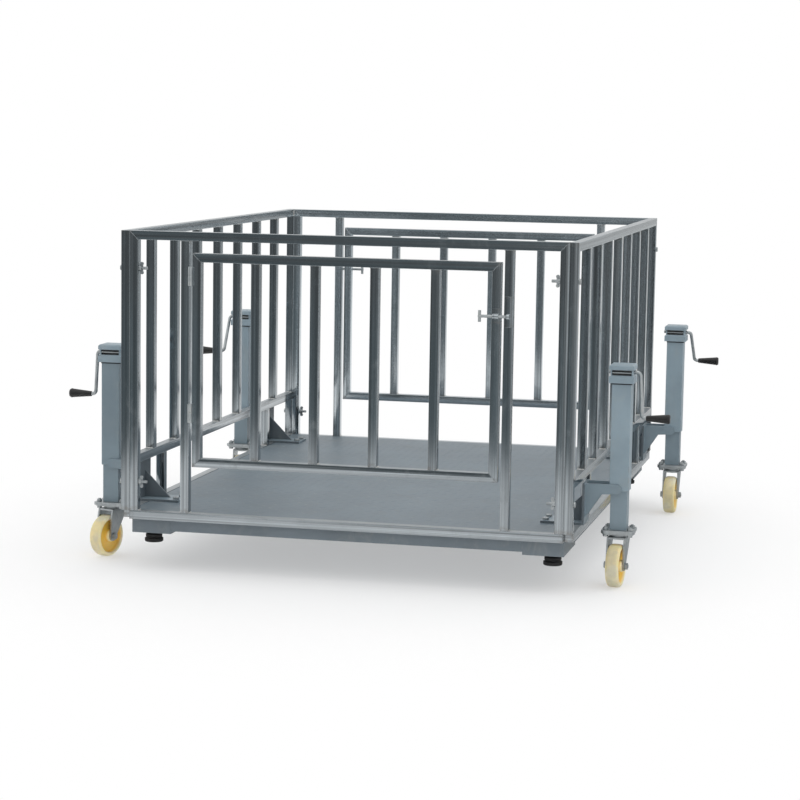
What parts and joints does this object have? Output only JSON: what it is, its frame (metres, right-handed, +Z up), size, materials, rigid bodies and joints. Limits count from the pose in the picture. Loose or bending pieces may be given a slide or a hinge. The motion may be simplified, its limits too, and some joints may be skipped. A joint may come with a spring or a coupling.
{
  "type": "livestock weighing crate",
  "caption": "Livestock weighing crate: checker-plate scale deck inside a square-tube pen with hinged end gates, on crank jacks with swivel casters.",
  "frame": {"origin": "on the ground under the centre of the deck, with the crate standing on its casters", "axes": "+X to the right along the front end, +Y to the rear end, +Z up"},
  "size_m": [2.122, 2.0958, 1.162],
  "materials": {
    "satin_steel": "satin brushed square tube",
    "zinc": "zinc plated",
    "blue_grey_paint": "semi-gloss blue-grey paint",
    "deck_paint": "worn blue-grey paint on checker plate",
    "frame_paint": "semi-gloss dark grey paint",
    "cell_steel": "nickel plated",
    "foot_rubber": "matt",
    "grip_plastic": "smooth black",
    "box_plastic": "matt black",
    "wheel_nylon": "cream cast nylon, semi-gloss"
  },
  "bodies": {
    "crate": {"deck_plate": "deck_paint", "platform_frame": "frame_paint", "foot_housings": "frame_paint", "load_cells": "cell_steel", "load_cell_bolts": "zinc", "foot_studs": "zinc", "rubber_feet": "foot_rubber", "junction_box": "box_plastic", "junction_lid": "box_plastic", "left_side_frame": "satin_steel", "left_side_bars": "satin_steel", "right_side_frame": "satin_steel", "right_side_bars": "satin_steel", "front_frame": "satin_steel", "rear_frame": "satin_steel", "corner_bolts": "zinc", "corner_nuts": "zinc", "hinge_pins": "zinc", "latch_keepers": "satin_steel", "jack_tubes": "blue_grey_paint", "jack_heads": "blue_grey_paint", "jack_caps": "blue_grey_paint", "jack_brackets": "blue_grey_paint", "bracket_bolts": "zinc", "screw_bearings": "zinc"},
    "front_gate": {"front_gate_frame": "satin_steel", "front_gate_bars": "satin_steel", "front_gate_hinges": "zinc", "front_latch_guide": "satin_steel"},
    "front_latch": {"front_latch_bolt": "zinc"},
    "rear_gate": {"rear_gate_frame": "satin_steel", "rear_gate_bars": "satin_steel", "rear_gate_hinges": "zinc", "rear_latch_guide": "satin_steel"},
    "rear_latch": {"rear_latch_bolt": "zinc"},
    "crank_fl": {"crank_fl": "zinc"},
    "grip_fl": {"grip_fl": "grip_plastic"},
    "screw_fl": {"screw_fl": "zinc"},
    "leg_fl": {"leg_fl": "blue_grey_paint"},
    "fork_fl": {"fork_fl": "zinc"},
    "wheel_fl": {"wheel_fl": "wheel_nylon"},
    "crank_fr": {"crank_fr": "zinc"},
    "grip_fr": {"grip_fr": "grip_plastic"},
    "screw_fr": {"screw_fr": "zinc"},
    "leg_fr": {"leg_fr": "blue_grey_paint"},
    "fork_fr": {"fork_fr": "zinc"},
    "wheel_fr": {"wheel_fr": "wheel_nylon"},
    "crank_rl": {"crank_rl": "zinc"},
    "grip_rl": {"grip_rl": "grip_plastic"},
    "screw_rl": {"screw_rl": "zinc"},
    "leg_rl": {"leg_rl": "blue_grey_paint"},
    "fork_rl": {"fork_rl": "zinc"},
    "wheel_rl": {"wheel_rl": "wheel_nylon"},
    "crank_rr": {"crank_rr": "zinc"},
    "grip_rr": {"grip_rr": "grip_plastic"},
    "screw_rr": {"screw_rr": "zinc"},
    "leg_rr": {"leg_rr": "blue_grey_paint"},
    "fork_rr": {"fork_rr": "zinc"},
    "wheel_rr": {"wheel_rr": "wheel_nylon"}
  },
  "joints": [
    {"name": "front_gate_hinge", "type": "hinge", "parent": "crate", "child": "front_gate", "pos_m": [-0.5325, -1.0362, 0.782], "axis": [0, 0, -1], "range_deg": [0, 165]},
    {"name": "front_latch_slide", "type": "slide", "parent": "front_gate", "child": "front_latch", "axis": [1, 0, 0], "range_m": [0, 0.02]},
    {"name": "rear_gate_hinge", "type": "hinge", "parent": "crate", "child": "rear_gate", "pos_m": [0.5325, 1.0362, 0.782], "axis": [0, 0, -1], "range_deg": [0, 165]},
    {"name": "rear_latch_slide", "type": "slide", "parent": "rear_gate", "child": "rear_latch", "axis": [-1, 0, 0], "range_m": [0, 0.02]},
    {"name": "crank_turn_fl", "type": "hinge", "parent": "crate", "child": "crank_fl", "pos_m": [-0.9, -0.778, 0.7222], "axis": [-1, 0, 0], "range_deg": [-14410, 8650]},
    {"name": "grip_spin_fl", "type": "hinge", "parent": "crank_fl", "child": "grip_fl", "pos_m": [-1.021, -0.778, 0.5692], "axis": [-1, 0, 0], "continuous": true},
    {"name": "screw_turn_fl", "type": "hinge", "parent": "crate", "child": "screw_fl", "pos_m": [-0.9, -0.778, 0.6], "axis": [0, 0, 1], "range_deg": [-7210, 4330]},
    {"name": "leg_slide_fl", "type": "slide", "parent": "crate", "child": "leg_fl", "axis": [0, 0, -1], "range_m": [-0.1, 0.06]},
    {"name": "caster_swivel_fl", "type": "hinge", "parent": "leg_fl", "child": "fork_fl", "pos_m": [-0.9, -0.778, 0.169], "axis": [0, 0, 1], "continuous": true},
    {"name": "wheel_roll_fl", "type": "hinge", "parent": "fork_fl", "child": "wheel_fl", "pos_m": [-0.9117, -0.81625, 0.073], "axis": [0.9563, -0.2924, 0], "continuous": true},
    {"name": "crank_turn_fr", "type": "hinge", "parent": "crate", "child": "crank_fr", "pos_m": [0.9, -0.778, 0.7222], "axis": [1, 0, 0], "range_deg": [-14410, 8650]},
    {"name": "grip_spin_fr", "type": "hinge", "parent": "crank_fr", "child": "grip_fr", "pos_m": [1.021, -0.778, 0.5692], "axis": [1, 0, 0], "continuous": true},
    {"name": "screw_turn_fr", "type": "hinge", "parent": "crate", "child": "screw_fr", "pos_m": [0.9, -0.778, 0.6], "axis": [0, 0, 1], "range_deg": [-7210, 4330]},
    {"name": "leg_slide_fr", "type": "slide", "parent": "crate", "child": "leg_fr", "axis": [0, 0, -1], "range_m": [-0.1, 0.06]},
    {"name": "caster_swivel_fr", "type": "hinge", "parent": "leg_fr", "child": "fork_fr", "pos_m": [0.9, -0.778, 0.169], "axis": [0, 0, 1], "continuous": true},
    {"name": "wheel_roll_fr", "type": "hinge", "parent": "fork_fr", "child": "wheel_fr", "pos_m": [0.89721, -0.8179, 0.073], "axis": [0.9976, -0.0698, 0], "continuous": true},
    {"name": "crank_turn_rl", "type": "hinge", "parent": "crate", "child": "crank_rl", "pos_m": [-0.9, 0.778, 0.7222], "axis": [-1, 0, 0], "range_deg": [-14410, 8650]},
    {"name": "grip_spin_rl", "type": "hinge", "parent": "crank_rl", "child": "grip_rl", "pos_m": [-1.021, 0.72069, 0.58034], "axis": [-1, 0, 0], "continuous": true},
    {"name": "screw_turn_rl", "type": "hinge", "parent": "crate", "child": "screw_rl", "pos_m": [-0.9, 0.778, 0.6], "axis": [0, 0, 1], "range_deg": [-7210, 4330]},
    {"name": "leg_slide_rl", "type": "slide", "parent": "crate", "child": "leg_rl", "axis": [0, 0, -1], "range_m": [-0.1, 0.06]},
    {"name": "caster_swivel_rl", "type": "hinge", "parent": "leg_rl", "child": "fork_rl", "pos_m": [-0.9, 0.778, 0.169], "axis": [0, 0, 1], "continuous": true},
    {"name": "wheel_roll_rl", "type": "hinge", "parent": "fork_rl", "child": "wheel_rl", "pos_m": [-0.89582, 0.73822, 0.073], "axis": [0.9945, 0.1045, 0], "continuous": true},
    {"name": "crank_turn_rr", "type": "hinge", "parent": "crate", "child": "crank_rr", "pos_m": [0.9, 0.778, 0.7222], "axis": [1, 0, 0], "range_deg": [-14410, 8650]},
    {"name": "grip_spin_rr", "type": "hinge", "parent": "crank_rr", "child": "grip_rr", "pos_m": [1.021, 0.8722, 0.60163], "axis": [1, 0, 0], "continuous": true},
    {"name": "screw_turn_rr", "type": "hinge", "parent": "crate", "child": "screw_rr", "pos_m": [0.9, 0.778, 0.6], "axis": [0, 0, 1], "range_deg": [-7210, 4330]},
    {"name": "leg_slide_rr", "type": "slide", "parent": "crate", "child": "leg_rr", "axis": [0, 0, -1], "range_m": [-0.1, 0.06]},
    {"name": "caster_swivel_rr", "type": "hinge", "parent": "leg_rr", "child": "fork_rr", "pos_m": [0.9, 0.778, 0.169], "axis": [0, 0, 1], "continuous": true},
    {"name": "wheel_roll_rr", "type": "hinge", "parent": "fork_rr", "child": "wheel_rr", "pos_m": [0.9, 0.738, 0.073], "axis": [1, 0, 0], "continuous": true}
  ],
  "couplings": [
    {"joint": "crank_turn_fl", "follows": "leg_slide_fl", "rad_per_m": 2513.3},
    {"joint": "screw_turn_fl", "follows": "leg_slide_fl", "rad_per_m": 1256.6},
    {"joint": "crank_turn_fr", "follows": "leg_slide_fr", "rad_per_m": 2513.3},
    {"joint": "screw_turn_fr", "follows": "leg_slide_fr", "rad_per_m": 1256.6},
    {"joint": "crank_turn_rl", "follows": "leg_slide_rl", "rad_per_m": 2513.3},
    {"joint": "screw_turn_rl", "follows": "leg_slide_rl", "rad_per_m": 1256.6},
    {"joint": "crank_turn_rr", "follows": "leg_slide_rr", "rad_per_m": 2513.3},
    {"joint": "screw_turn_rr", "follows": "leg_slide_rr", "rad_per_m": 1256.6}
  ]
}
